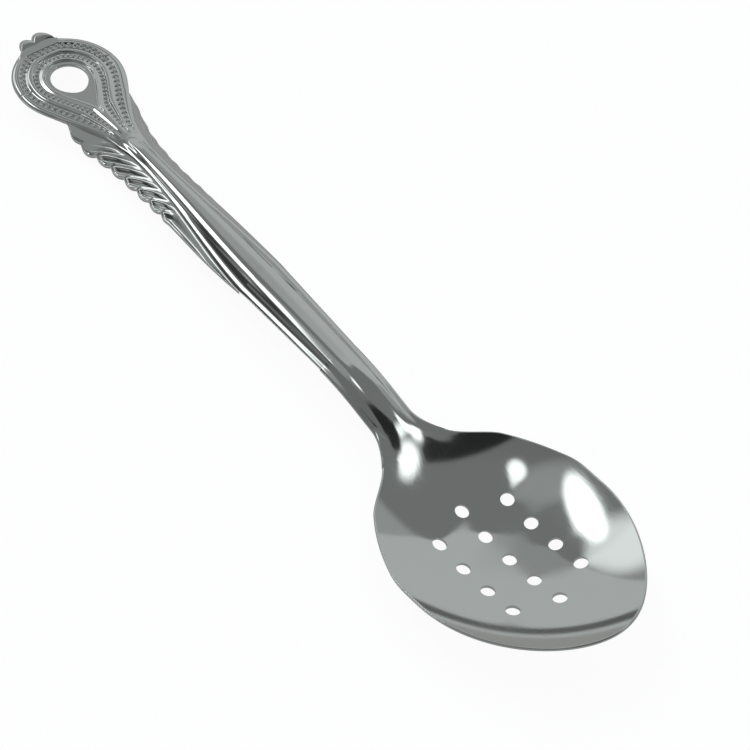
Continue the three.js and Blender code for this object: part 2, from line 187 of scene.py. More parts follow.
def closed_strip(top, under, out_first, out_last, radius_first, radius_last):
    """Closed sheet over a grid: each row goes across the top, round, back underneath and round."""
    last, last_normal = edge_arc(top[:, -1], under[:, -1], out_last, radius_last)
    first, first_normal = edge_arc(top[:, 0], under[:, 0], out_first, radius_first)
    points = np.concatenate([top, last, under[:, ::-1], first[:, ::-1]], 1)
    under_normal = -grid_normals(under)
    parts = [grid_normals(top), last_normal, under_normal[:, ::-1], first_normal[:, ::-1]]
    rows, across = top.shape[:2]
    faces = grid_faces(rows, points.shape[1], True)
    end = (rows - 1) * points.shape[1]
    caps = [cap_faces(0, across), cap_faces(end, across)[:, ::-1]]
    return points.reshape(-1, 3), np.concatenate(parts, 1).reshape(-1, 3), [faces, *caps]


def face_normals(points, quads):
    """Normals of quads from their diagonals, as long as twice the quad's area."""
    a, b, c, d = (points[quads[:, k]] for k in range(4))
    return np.cross(c - a, d - b)


def joined(*parts):
    """Several (points, normals, faces) parts in one, each with its faces turned to its normals' side."""
    start, all_faces = 0, []
    for points, normals, faces in parts:
        quads = np.concatenate(faces)
        agree = np.sum(face_normals(points, quads) * normals[quads].mean(1))
        all_faces.append((quads if agree > 0 else quads[:, ::-1]) + start)
        start += len(points)
    points, normals = (np.concatenate([part[k] for part in parts]) for k in (0, 1))
    return points, normals, np.concatenate(all_faces)


def welded(points, normals, quads):
    """Merge points that coincide, and drop faces that closed up or that lie back to back inside."""
    keys = np.round(points * WELD_GRAIN).astype(np.int64)
    _, first, index = np.unique(keys, axis=0, return_index=True, return_inverse=True)
    total = np.zeros((len(first), 3))
    np.add.at(total, index.ravel(), normals)
    quads = index.ravel()[quads]
    _, same, count = np.unique(np.sort(quads, 1), axis=0, return_inverse=True, return_counts=True)
    quads = quads[count[same.ravel()] == 1]
    repeat = quads == np.roll(quads, 1, axis=1)
    whole = quads[repeat.sum(1) == 0]
    folded = repeat.sum(1) == 1
    three = quads[folded][~repeat[folded]].reshape(-1, 3)
    return points[first], unit(total), whole, three


# %% [markdown]
# ## Polished steel
# The sheet is mirror polished, but handled: fine hairlines run along it, and the polish is a little
# softer in some places than in others. A plain metal shader would look like chrome paint. Two stretched
# noises set the roughness and a very small bump, both on Object coordinates, so they stay on the steel.

# %% Steel finish
STEEL_COLOUR = (0.64, 0.65, 0.63, 1.0)
HAIR_SCALE, PATCH_SCALE = (90.0, 2600.0, 2600.0), 70.0
NOISE_LOW, NOISE_HIGH, ROUGH_LOW, ROUGH_HIGH = 0.1, 0.45, 0.04, 0.11
BUMP_STRENGTH, BUMP_DISTANCE = 0.015, 0.0002


def add_node(tree, kind, sockets=(), **settings):
    """New node with its settings, and with values or links on the named sockets."""
    made = tree.nodes.new(kind)
    for name, value in settings.items():
        setattr(made, name, value)
    for name, value in dict(sockets).items():
        if isinstance(value, bpy.types.NodeSocket):
            tree.links.new(value, made.inputs[name])
        else:
            made.inputs[name].default_value = value
    return made


def polished_steel():
    """Metal with hairlines along X and patches of softer polish."""
    material = bpy.data.materials.new("polished_steel_finish")
    material.use_nodes = True
    tree = material.node_tree
    shader = tree.nodes["Principled BSDF"]
    shader.inputs["Base Color"].default_value = STEEL_COLOUR
    shader.inputs["Metallic"].default_value = 1.0
    place = add_node(tree, "ShaderNodeTexCoord").outputs["Object"]
    along = add_node(tree, "ShaderNodeMapping", {"Vector": place, "Scale": HAIR_SCALE})
    hair = add_node(tree, "ShaderNodeTexNoise", {"Vector": along.outputs[0], "Scale": 1.0, "Detail": 4.0})
    patch = add_node(tree, "ShaderNodeTexNoise", {"Vector": place, "Scale": PATCH_SCALE, "Detail": 3.0})
    both = add_node(tree, "ShaderNodeMath", {0: hair.outputs[0], 1: patch.outputs[0]}, operation="MULTIPLY")
    sockets = {"Value": both.outputs[0], "From Min": NOISE_LOW, "From Max": NOISE_HIGH}
    sockets.update({"To Min": ROUGH_LOW, "To Max": ROUGH_HIGH})
    rough = add_node(tree, "ShaderNodeMapRange", sockets)
    tree.links.new(rough.outputs[0], shader.inputs["Roughness"])
    height = {"Strength": BUMP_STRENGTH, "Distance": BUMP_DISTANCE, "Height": hair.outputs[0]}
    bump = add_node(tree, "ShaderNodeBump", height)
    tree.links.new(bump.outputs[0], shader.inputs["Normal"])
    return material


steel = polished_steel()


def steel_piece(name, node, *shells):
    """Weld shells into one mesh, set it on the table, and let it stand for its CAD node."""
    points, normals, quads, three = welded(*joined(*shells))
    placed = to_table(points) + REST_SHIFT
    placed[:, 2] = np.maximum(placed[:, 2], 0)
    mesh = bpy.data.meshes.new(name)
    mesh.from_pydata((placed * MILLIMETRE).tolist(), [], quads.tolist() + three.tolist())
    mesh.polygons.foreach_set("use_smooth", np.ones(len(mesh.polygons), bool))
    mesh.normals_split_custom_set_from_vertices(to_table(normals).tolist())
    mesh.materials.append(steel)
    piece = bpy.data.objects.new(name, mesh)
    bpy.context.scene.collection.objects.link(piece)
    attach(piece, "root")
    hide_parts(node)
    print(name, len(mesh.vertices), "points,", len(quads), "quads,", len(three), "triangles")


# %% [markdown]
# ## The stem's profile
# A press gave the handle a flat tongue down its middle, a steep shoulder on each side of it and an
# easier ridge before the edge. The profile is built from slopes, not heights, because a slope decides
# what a mirror shows: where it stays the same for a while, a reflection grows into a broad line. A fine
# crease goes round the tongue and fades out in the neck.

# %% Tongue, shoulders and ridges
CREASE_DEPTH, CREASE_WIDTH, CREASE_END_X = 0.07, 0.32, -46.0
CREASE_FULL_X, CREASE_STEM_LOSS = -110.0, 0.6
TONGUE_NOSE_X, LIFT_LEAD, LIFT_RUN, LIFT_FADE = -146.8, 1.0, 8.0, 20.0
TONGUE_SLOPE, SHOULDER_SLOPE, RIDGE_SLOPE, BORDER_SLOPE = 0.39, 0.74, 0.39, 0.8
TONGUE_SPAN, SHOULDER_SPAN, RIDGE_SPAN, BORDER_SPAN = (0.08, 0.42), (0.48, 0.64), (0.64, 0.82), (0.88, 1.0)
EDGE_DROP, FULL_WING_SHARE, BORDER_END_SPREAD = 0.3, 0.3, 0.5
TONGUE_NOSE_HALF_WIDTH, TONGUE_HALF_WIDTH, TONGUE_SPREAD = 1.25, 3.9, 3.5


def loop_half_width(x):
    """Outline of the loop: a circle, then a cubic taper to its tip."""
    round_part = np.sqrt(np.maximum(LOOP_RADIUS ** 2 - (x - LOOP_CENTRE_X) ** 2, 0))
    flare = LOOP_TAPER_X - LOOP_CENTRE_X
    flare_width = np.sqrt(LOOP_RADIUS ** 2 - flare ** 2)
    start = (LOOP_TAPER_X, flare_width, -flare / flare_width)
    taper = cubic(x, start, (HEAD_PLANE, LOOP_TIP_HALF_WIDTH, LOOP_TIP_SLOPE))
    return np.where(x <= LOOP_TAPER_X, round_part, taper)


def border_half_width(x):
    """Line between stem and wing: the loop's outline, then a cubic from its tip to the stem's edge."""
    spread = (WINGS_END_HALF_WIDTH - LOOP_TIP_HALF_WIDTH) / (WING_END_X - HEAD_PLANE)
    start = (HEAD_PLANE, LOOP_TIP_HALF_WIDTH, LOOP_TIP_SLOPE)
    winged = cubic(x, start, (WING_END_X, WINGS_END_HALF_WIDTH, BORDER_END_SPREAD * spread))
    return np.where(x > WING_END_X, half_width(x), np.where(x < HEAD_PLANE, loop_half_width(x), winged))


def along_wing(x):
    """0 where the wing is full and 1 where it has run out."""
    return ease(x, mix(HEAD_PLANE, WING_END_X, FULL_WING_SHARE), WING_END_X)


def border_drop(x):
    """How far the stem's edge lies below its crest."""
    return mix(EDGE_DROP, STEM_CROWN, along_wing(x))


def tongue_half_width(x):
    """Half the tongue's width, a spread that eases off towards the bowl."""
    far = np.clip((x - TONGUE_NOSE_X) / (CREASE_END_X - TONGUE_NOSE_X), 0, 1)
    return mix(TONGUE_HALF_WIDTH, TONGUE_NOSE_HALF_WIDTH, (1 - far) ** TONGUE_SPREAD)


def crease(x, y):
    """Depth of the crease, a bell curve across the tongue's edge that goes round its nose."""
    middle = TONGUE_NOSE_X + TONGUE_NOSE_HALF_WIDTH
    past = np.hypot(np.maximum(middle - x, 0), y) - tongue_half_width(x)
    stem_loss = CREASE_STEM_LOSS * ease(x, CREASE_FULL_X, STEM_PLANE)
    neck_loss = (1 - CREASE_STEM_LOSS) * ease(x, STEM_PLANE, CREASE_END_X)
    return CREASE_DEPTH * (1 - stem_loss - neck_loss) * np.exp(-(past / CREASE_WIDTH) ** 2)


def eased_area(x, low, high):
    """Area under an ease: (high - low) times t^3 - t^4 / 2, and straight on past its high end."""
    t = (x - low) / (high - low)
    inside = np.clip(t, 0, 1)
    return (high - low) * (inside ** 3 - inside ** 4 / 2 + np.maximum(t - 1, 0))


def shoulder_fall(share):
    """Fall for a half width of one: flat, tongue's edge, steep shoulder, easier ridge and a turn down."""
    tongue = TONGUE_SLOPE * eased_area(share, *TONGUE_SPAN)
    shoulder = (SHOULDER_SLOPE - TONGUE_SLOPE) * eased_area(share, *SHOULDER_SPAN)
    ridge = (RIDGE_SLOPE - SHOULDER_SLOPE) * eased_area(share, *RIDGE_SPAN)
    return tongue + shoulder + ridge + (BORDER_SLOPE - RIDGE_SLOPE) * eased_area(share, *BORDER_SPAN)


EDGE_FALL = shoulder_fall(1.0)


def lift(x):
    """How far the middle of the stem is raised between the loop and the neck."""
    start = ease(x, HEAD_PLANE - LIFT_LEAD, HEAD_PLANE + LIFT_RUN)
    full = np.maximum(EDGE_FALL * border_half_width(x) - border_drop(x), 0)
    return full * start * (1 - ease(x, STEM_PLANE - LIFT_FADE, CREASE_END_X))


def arch(x, y, drop):
    """Rise and fall of the stem's back: lifted in the middle, and down by drop at the edge."""
    share = np.abs(y) / np.maximum(border_half_width(x), 0.001)
    return lift(x) - (lift(x) + drop) * shoulder_fall(share) / EDGE_FALL - crease(x, y)


# %% [markdown]
# ## The drained bowl
# A shallow dish, a little longer than it is wide, with thirteen punched holes in three staggered rows.
# Boolean cuts would leave ragged faces round each hole, and a mirror shows every one. The plan is
# divided instead: a cell round each hole goes from a rectangle to the circle, four half cells
# fill the rectangle of the pattern, and rings go from that rectangle out to the rim.

# %% Drain pattern and height of the dish
DRAIN_RADIUS, DRAIN_PITCH, DRAIN_ROW_SPACING = 1.7, 8.3, 10.9
PUNCH_ROUND, DIMPLE_DEPTH, DIMPLE_SPREAD = 0.06, 0.12, 2.4
drain_x = np.concatenate([np.arange(4) - 1.5, np.arange(5) - 2, np.arange(4) - 1.5]) * DRAIN_PITCH
drain_y = np.repeat([-1, 0, 1], [4, 5, 4]) * DRAIN_ROW_SPACING
CROWN_START_X, CROWN_END_X = -48.0, -28.0


def bowl_height(x, y):
    """Top of bowl and neck: a dish of two curvatures, less dimples, that turns into the arched stem."""
    hollow = ease(x, FLARE_END_X, NECK_PLANE) * y ** 2 / (2 * DISH_RADIUS_CROSS)
    crowned = 1 - ease(x, CROWN_START_X, CROWN_END_X)
    reach = (x[..., None] - drain_x) ** 2 + (y[..., None] - drain_y) ** 2
    dimples = np.exp(-reach / (2 * DIMPLE_SPREAD ** 2)).sum(-1) * DIMPLE_DEPTH
    return crest_height(x) + hollow - dimples + arch(x, y, STEM_CROWN * crowned)


def bowl_sheet(x, y):
    """Top points, normals and under points of the sheet over places in the plan."""
    step = 0.02
    slope_x = (bowl_height(x + step, y) - bowl_height(x - step, y)) / (2 * step)
    slope_y = (bowl_height(x, y + step) - bowl_height(x, y - step)) / (2 * step)
    normals = unit(np.stack([-slope_x, -slope_y, np.ones_like(x)], -1))
    top = np.stack([x, y, bowl_height(x, y)], -1)
    return top, normals, top - SHEET * normals


def bowl_rings(x, y, out, radius):
    """Shell over rings in the plan, [.., around, ring], that ends in a rounded edge at the last ring."""
    top, normals, under = bowl_sheet(x, y)
    edge = normals[..., -1, :]
    out = np.stack([out[0], out[1], -(edge[..., 0] * out[0] + edge[..., 1] * out[1]) / edge[..., 2]], -1)
    arc, arc_normals = edge_arc(top[..., -1, :], under[..., -1, :], unit(out), radius)
    points = np.concatenate([top, arc, under[..., ::-1, :]], -2)
    shade = np.concatenate([normals, arc_normals, -normals[..., ::-1, :]], -2)
    around, rings = points.shape[-3:-1]
    faces = np.swapaxes(grid_faces(rings, around, True).reshape(rings - 1, around, 4), 0, 1)
    i, j = faces // around, faces % around
    one = (j * rings + i).reshape(-1, 4)
    copies = np.arange(points.size // (3 * around * rings))[:, None, None] * around * rings
    return points.reshape(-1, 3), shade.reshape(-1, 3), [(one + copies).reshape(-1, 4)]


CELL_STEPS, CELL_RINGS, RIM_RINGS, OUTLINE_STEPS = 16, 10, 44, 1500
CELL_CROWDING, RIM_CROWDING = 0.8, 1.3
side = np.linspace(-1, 1, CELL_STEPS + 1)[:-1]
ones = np.ones(CELL_STEPS)
frame_x = np.concatenate([ones, -side, -ones, side]) * DRAIN_PITCH / 2
frame_y = np.concatenate([side, ones, -side, -ones]) * DRAIN_ROW_SPACING / 2


def drain_cells():
    """Thirteen cells that go from the rectangle round a hole to its circle."""
    angle = np.arctan2(frame_y, frame_x)
    lip = DRAIN_RADIUS + PUNCH_ROUND
    t = np.linspace(0, 1, CELL_RINGS + 1) ** CELL_CROWDING
    x = mix(frame_x[:, None], lip * np.cos(angle)[:, None], t)
    y = mix(frame_y[:, None], lip * np.sin(angle)[:, None], t)
    around = np.broadcast_to(angle, (len(drain_x), len(angle)))
    out = (-np.cos(around), -np.sin(around))
    radius = np.full(around.shape, PUNCH_ROUND)
    return bowl_rings(drain_x[:, None, None] + x, drain_y[:, None, None] + y, out, radius)


def half_cells():
    """Four plain half cells at the ends of the outer rows, top and underside."""
    a = np.linspace(2, 2.5, CELL_STEPS // 2 + 1) * DRAIN_PITCH
    b = np.linspace(0.5, 1.5, CELL_STEPS + 1) * DRAIN_ROW_SPACING
    signs = np.array([[1, 1], [-1, 1], [-1, -1], [1, -1]])[:, :, None, None]
    x, y = (np.broadcast_arrays(a[:, None], b[None, :])[k] * signs[:, k] for k in (0, 1))
    top, normals, under = bowl_sheet(x, y)
    base = grid_faces(len(a), len(b))
    turned = np.stack([base, base[:, ::-1], base, base[:, ::-1]])
    copies = np.arange(4)[:, None, None] * len(a) * len(b)
    upper = (turned + copies).reshape(-1, 4)
    points = np.concatenate([top.reshape(-1, 3), under.reshape(-1, 3)])
    shade = np.concatenate([normals.reshape(-1, 3), -normals.reshape(-1, 3)])
    return points, shade, [upper, upper[:, ::-1] + top.size // 3]


EDGE_ROUND, RIM_SPARE = 0.36, 0.01


def edge_inset(slope):
    """How far inside the outline a sloping sheet's top edge lies, so that its round edge just reaches it."""
    lean = slope / np.hypot(1, slope)
    rise = SHEET / 2 * lean
    return rise + np.hypot(rise, EDGE_ROUND * np.sqrt(1 - lean ** 2))


def rim_rings():
    """Rings from the rectangle of the pattern to the rim, with a straight cut at the neck."""
    turn = np.linspace(0, np.pi / 2, OUTLINE_STEPS)
    behind = np.linspace(0, NECK_PLANE - 1, OUTLINE_STEPS)[1:]
    line_x = np.concatenate([BOWL_FRONT * np.cos(turn), behind])
    line_y = half_width(line_x)
    go = unit(np.stack([np.gradient(line_x), np.gradient(line_y)], -1))
    out_x, out_y = go[:, 1], -go[:, 0]
    step = 0.4
    rise = bowl_height(line_x, line_y) - bowl_height(line_x - step * out_x, line_y - step * out_y)
    inset = edge_inset(rise / step) + RIM_SPARE
    inner_x, inner_y = line_x - inset * out_x, line_y - inset * out_y
    angle = np.arctan2(inner_y, inner_x)
    corner = np.interp(-NECK_PLANE, -inner_x, angle)
    wide, deep = 2.5 * DRAIN_PITCH, 1.5 * DRAIN_ROW_SPACING
    up = np.linspace(-deep, deep, 3 * CELL_STEPS + 1)[:-1]
    across = np.linspace(wide, -wide, 5 * CELL_STEPS + 1)[:-1]
    box_x = np.concatenate([np.full_like(up, wide), across, np.full_like(up, -wide), -across])
    box_y = np.concatenate([up, np.full_like(across, deep), -up, np.full_like(across, -deep)])
    half = np.abs(np.arctan2(box_y, box_x))
    nearest = half[np.argmin(np.abs(half - corner))]
    half = np.interp(half, [0, nearest, np.pi], [0, corner, np.pi])
    mirror = np.where(box_y < 0, -1, 1)
    free = half <= corner + 1e-9
    rim_x = np.where(free, np.interp(half, angle, inner_x), NECK_PLANE)
    rim_y = mirror * np.where(free, np.interp(half, angle, inner_y), NECK_PLANE * np.tan(half))
    out = (np.where(free, np.interp(half, angle, out_x), -1), mirror * np.interp(half, angle, out_y) * free)
    t = 1 - (1 - np.linspace(0, 1, RIM_RINGS + 1)) ** RIM_CROWDING
    return bowl_rings(mix(box_x[:, None], rim_x[:, None], t), mix(box_y[:, None], rim_y[:, None], t), out,
                      np.where(free, EDGE_ROUND, 0))


# %% Bowl piece
steel_piece("pierced_dish", "drained_bowl", drain_cells(), half_cells(), rim_rings())

# %% [markdown]
# ## Neck and stem
# Both are strips: rows of places along X, and in each row shares of the half width. The neck repeats
# the bowl's own height formula, so the reflection runs on across the joint without a break.

# %% Neck piece
NECK_ROWS, PLAIN_ROWS, TAIL_ROWS, WINGED_ROWS, STRIP_COLUMNS = 90, 100, 80, 280, 64
TAIL_X = np.linspace(WING_START_X, HEAD_PLANE, TAIL_ROWS + 1)
WINGED_X = np.linspace(HEAD_PLANE, WING_END_X, WINGED_ROWS + 1)
FAR, NEAR = np.array([0.0, 1.0, 0.0]), np.array([0.0, -1.0, 0.0])


def edge_stretch(x):
    """How much wider a round edge is across the spoon where the outline runs at a slant."""
    step = 0.05
    return np.hypot(1, (half_width(x + step) - half_width(x - step)) / (2 * step))


def bowl_strip(x):
    """Closed strip of the bowl's sheet from the near edge to the far edge."""
    width, step = half_width(x), 0.4
    slope = (bowl_height(x, width) - bowl_height(x, width - step)) / step
    stretch = edge_stretch(x)
    y = (width - edge_inset(slope) * stretch)[:, None] * np.linspace(-1, 1, STRIP_COLUMNS + 1)
    top, _, under = bowl_sheet(np.broadcast_to(x[:, None], y.shape), y)
    far, near = (unit(np.stack([0 * x, s + 0 * x, slope], -1)) for s in (1, -1))
    return closed_strip(top, under, near, far, EDGE_ROUND * stretch, EDGE_ROUND * stretch)


neck_shell = bowl_strip(np.linspace(STEM_PLANE, NECK_PLANE, NECK_ROWS + 1))
steel_piece("arched_neck", "neck", neck_shell)

# %% Stem piece


def stem_height(x, y):
    """Crest with the stem's profile on it."""
    return crest_height(x) + arch(x, y, border_drop(x))


def sheet_under(top):
    """Under side of a grid, one sheet's thickness along its normals."""
    return top - SHEET * grid_normals(top)


ROUND_LEAD, ROUND_RUN = 2.0, 4.0
stem_x = np.concatenate([WINGED_X, np.linspace(WING_END_X, STEM_PLANE, PLAIN_ROWS + 1)[1:]])
stem_round = EDGE_ROUND * ease(stem_x, WING_END_X - ROUND_LEAD, WING_END_X + ROUND_RUN)
stem_y = (border_half_width(stem_x) - stem_round)[:, None] * np.linspace(-1, 1, STRIP_COLUMNS + 1)
stem_across = np.broadcast_to(stem_x[:, None], stem_y.shape)
stem_top = np.stack([stem_across, stem_y, stem_height(stem_across, stem_y)], -1)
near_side, far_side = (np.broadcast_to(s, (len(stem_x), 3)) for s in (NEAR, FAR))
stem_shell = closed_strip(stem_top, sheet_under(stem_top), near_side, far_side, stem_round, stem_round)
steel_piece("tongued_stem", "stem", stem_shell)

# %% [markdown]
# ## Fluted wings
# On each side of the stem the sheet turns down into a wing whose edge is scalloped. Each scallop is the
# end of a flute, a rounded lobe that sweeps inwards towards the bowl. The lobes are half waves of a
# sine, with sharp valleys between them and two fine lines on each lobe. At its very edge the wing
# flattens to a narrow lip, which catches the light all along the scallops.

# %% Wing pieces
WING_WIDTH, WING_GROWTH, WING_TAPER, FLUTES = 4.6, 2.5, 1.6, 8
WING_SLOPE_AT_START, WING_SLOPE, WING_SLOPE_AT_END = 1.7, 1.12, 1.1
FLUTE_PITCH, FLUTE_HEIGHT, FLUTE_SWEEP, SCALLOP_DEPTH = 5.2, 0.26, 3.2, 0.6
FLUTE_ROOT, LIP_SLOPE, LIP_WIDTH, EDGE_LEAN = 0.6, 0.3, 0.4, 0.8
LIP_LEAST, LIP_FULL, SCALLOP_FULL, STEEPEST, LAST_FLUTES = 1.0, 3.0, 2.0, 3.0, 3
FLUTE_END_X = WING_START_X + FLUTES * FLUTE_PITCH
LINE_HEIGHT, LINES_PER_LOBE, ROOT_ROUND = 0.035, 2, 0.6
WING_COLUMNS = 40


def flute_strength(x):
    """Flutes are half risen at the wing's start, full half a pitch on, and fade over the last pitch."""
    rise = ease(x, WING_START_X - FLUTE_PITCH / 2, WING_START_X + FLUTE_PITCH / 2)
    return rise * (1 - ease(x, FLUTE_END_X - FLUTE_PITCH, FLUTE_END_X))


def flute_phase(x, inward):
    """Place along the flutes, in pitches, on lines that sweep towards the bowl."""
    return (x - WING_START_X - FLUTE_SWEEP * inward) / FLUTE_PITCH


def plain_wing_width(x):
    """Width of the wing without scallops: a power curve at its start, then a taper to the stem's edge."""
    before = np.clip((HEAD_PLANE - x) / (HEAD_PLANE - WING_START_X), 0, 1)
    along = np.clip((x - HEAD_PLANE) / (WING_END_X - HEAD_PLANE), 0, 1)
    return (1 - before ** WING_GROWTH) * WING_WIDTH * (1 - along ** WING_TAPER)


def wing_width(x):
    """Width of the wing with its scallops, one for each flute."""
    scallop = SCALLOP_DEPTH * flute_strength(x) * (np.abs(np.sin(np.pi * flute_phase(x, 0))) - 0.5)
    return np.maximum(0, plain_wing_width(x) + scallop * ease(plain_wing_width(x), 0, SCALLOP_FULL))


def wing_slope(x):
    """Fall of the wing for each millimetre of its width."""
    start = mix(WING_SLOPE_AT_START, WING_SLOPE, ease(x, WING_START_X, HEAD_PLANE))
    last = ease(x, FLUTE_END_X - LAST_FLUTES * FLUTE_PITCH, FLUTE_END_X + FLUTE_PITCH)
    return mix(start, WING_SLOPE_AT_END, last)


def wing_fall(x, reach):
    """Fall from the border: it leaves with the stem's slope, bends down and ends in a flatter lip."""
    width = np.maximum(plain_wing_width(x), 0.01)
    root = (border_drop(x) + lift(x)) * BORDER_SLOPE / (EDGE_FALL * border_half_width(x))
    bend = ROOT_ROUND * (1 - np.exp(-width / ROOT_ROUND))
    slope = np.clip((wing_slope(x) * width - root * bend) / (width - bend), 0, STEEPEST)
    leave = (slope - root) * ROOT_ROUND * (1 - np.exp(-reach / ROOT_ROUND))
    short = np.maximum(wing_width(x) - EDGE_ROUND - reach, 0)
    turn = np.maximum(slope - LIP_SLOPE, 0) * ease(width, LIP_LEAST, LIP_FULL)
    lip = turn * LIP_WIDTH * (np.exp(-short / LIP_WIDTH) - np.exp(-width / LIP_WIDTH))
    return slope * reach - leave - lip


def wing_shell(hand):
    """Sheet of a wing, from the border of loop and stem out to the scalloped edge."""
    x = np.concatenate([TAIL_X, WINGED_X[1:]])
    width = wing_width(x)
    edge = np.minimum(EDGE_ROUND, width / 3)
    share = np.linspace(0, 1, WING_COLUMNS + 1)
    reach = (width - edge)[:, None] * share
    phase = flute_phase(x[:, None], plain_wing_width(x)[:, None] - reach)
    lobe = np.abs(np.sin(np.pi * phase))
    lines = LINE_HEIGHT * np.cos(2 * np.pi * LINES_PER_LOBE * phase) * lobe
    flute = flute_strength(x)[:, None] * ease(share, 0, FLUTE_ROOT) * (FLUTE_HEIGHT * lobe + lines)
    fall = border_drop(x)[:, None] + wing_fall(x[:, None], reach)
    z = crest_height(x)[:, None] - fall + np.minimum(1, width)[:, None] * flute
    y = hand * (border_half_width(x)[:, None] + reach)
    top = np.stack([np.broadcast_to(x[:, None], y.shape), y, z], -1)
    under = top - np.array([0, 0, SHEET])
    out = np.broadcast_to(unit(np.array([0, hand, -EDGE_LEAN])), (len(x), 3))
    return closed_strip(top, under, -out, out, np.zeros(len(x)), edge)


steel_piece("far_fluted_wing", "far_wing", wing_shell(1))
steel_piece("near_fluted_wing", "near_wing", wing_shell(-1))

# %% [markdown]
# ## The loop head
# The end of the handle is a teardrop loop round a hanging eye. From its edge inwards it has a plain
# rounded rim, a row of paired beads, a plain ridge, a row of fine ribs and an inner rim round a sunk
# field. The band is a grid: places along the outline, and shares of the way to the field's edge. Beads
# and ribs are small ellipsoids sunk in the channels of that grid, spaced evenly along their own rows.

# %% Loop head piece
FIELD_RADIUS, FIELD_FLARE, FIELD_TIP_X, FIELD_DEPTH = 6.2, 1.5, -161.0, 0.5
EYE_RADIUS, EYE_POINT, EYE_POINT_POWER, EYE_ROUND = 5.0, 0.5, 8, 0.3
CHANNEL_DEPTH, RIDGE_HEIGHT, TAIL_FADE = 0.38, 0.12, 5.0
RIM_SHARE, RIM_START, FIELD_CLOSE, ARCH_LEAD = 0.12, 1.5, 3.0, 4.0
OUTER_CHANNEL, INNER_CHANNEL = (0.19, 0.25, 0.36, 0.53), (0.59, 0.66, 0.77, 0.94)
MIDDLE_RIDGE, FIELD_STEP, SEAM_STEP = (0.36, 0.53, 0.58, 0.66), (0.93, 1.0), (0.36, 0.42)
LINE_DEPTH, LINE_SHARE, LINE_WIDTH = 0.07, 0.14, 0.016
SEAM_X, SEAM_DEPTH, SEAM_WIDTH = -175.0, 0.15, 0.16
EDGE_RUN, LOOP_BAND = 4.0, 9.0
SEAT_ROWS, ROUND_ROWS, TAPER_ROWS, BAND_COLUMNS, FIELD_COLUMNS = 30, 130, 60, 60, 6


def band_places():
    """Outer and inner points along the far half of the band, from the crown's seat to its tip."""
    seat = loop_half_width(np.array(CROWN_PLANE))
    seat_angle = np.arcsin(seat / LOOP_RADIUS)
    flare = LOOP_TAPER_X - LOOP_CENTRE_X
    loop_end = np.pi / 2 + np.arcsin(flare / LOOP_RADIUS)
    field_end = np.pi / 2 + np.arcsin(FIELD_FLARE / FIELD_RADIUS)
    flat = np.linspace(0, 1, SEAT_ROWS + 1)[:-1]
    turn = np.linspace(0, 1, ROUND_ROWS + 1)[:-1]
    angle, field_angle = mix(seat_angle, loop_end, turn), mix(seat_angle, field_end, turn)
    taper = np.linspace(LOOP_TAPER_X, FIELD_TIP_X, TAPER_ROWS + 1)
    past = TAIL_X[1:]
    t = (taper - LOOP_TAPER_X) / (FIELD_TIP_X - LOOP_TAPER_X)
    flare_x, tip = LOOP_CENTRE_X + FIELD_FLARE, FIELD_TIP_X - LOOP_CENTRE_X
    flare_width = np.sqrt(FIELD_RADIUS ** 2 - FIELD_FLARE ** 2)
    inner_x = mix(flare_x, FIELD_TIP_X, t)
    ends = (flare_x, flare_width, -FIELD_FLARE / flare_width), (FIELD_TIP_X, 0.0, -FIELD_RADIUS / tip)
    outer = [
        np.stack([np.full_like(flat, CROWN_PLANE), flat * seat], -1),
        np.stack([LOOP_CENTRE_X - LOOP_RADIUS * np.cos(angle), LOOP_RADIUS * np.sin(angle)], -1),
        np.stack([taper, loop_half_width(taper)], -1),
        np.stack([past, loop_half_width(past)], -1),
    ]
    field_turn = np.concatenate([flat * seat_angle, field_angle])
    inner = [
        FIELD_RADIUS * np.stack([-np.cos(field_turn), np.sin(field_turn)], -1) + [LOOP_CENTRE_X, 0],
        np.stack([inner_x, cubic(inner_x, *ends)], -1),
        np.stack([past, np.zeros_like(past)], -1),
    ]
    return np.concatenate(outer), np.concatenate(inner), len(flat) + len(turn) + len(taper)


def raised(share, start, full, leave, end):
    """1 on a plateau between two eased sides, and 0 beyond them."""
    return ease(share, start, full) - ease(share, leave, end)


def band_relief(share, rim_keep, tail_keep, open_field):
    """Steps across the band: round rim, channel, ridge, channel, inner rim and the fall to the field."""
    rim = mix((1 - share) ** 2, np.clip(1 - share / RIM_SHARE, 0, 1) ** 2, tail_keep) * rim_keep
    channels = -CHANNEL_DEPTH * (raised(share, *OUTER_CHANNEL) + raised(share, *INNER_CHANNEL))
    ridge = RIDGE_HEIGHT * raised(share, *MIDDLE_RIDGE)
    line = -LINE_DEPTH * np.exp(-((share - LINE_SHARE) / LINE_WIDTH) ** 2) * rim_keep
    field = FIELD_DEPTH * open_field * ease(share, *FIELD_STEP)
    return tail_keep * (channels + ridge + line) - EDGE_DROP * rim - field


def run_length(line):
    """Distance along a line of points from its first point."""
    return np.concatenate([[0], np.cumsum(np.linalg.norm(np.diff(line, axis=0), axis=1))])


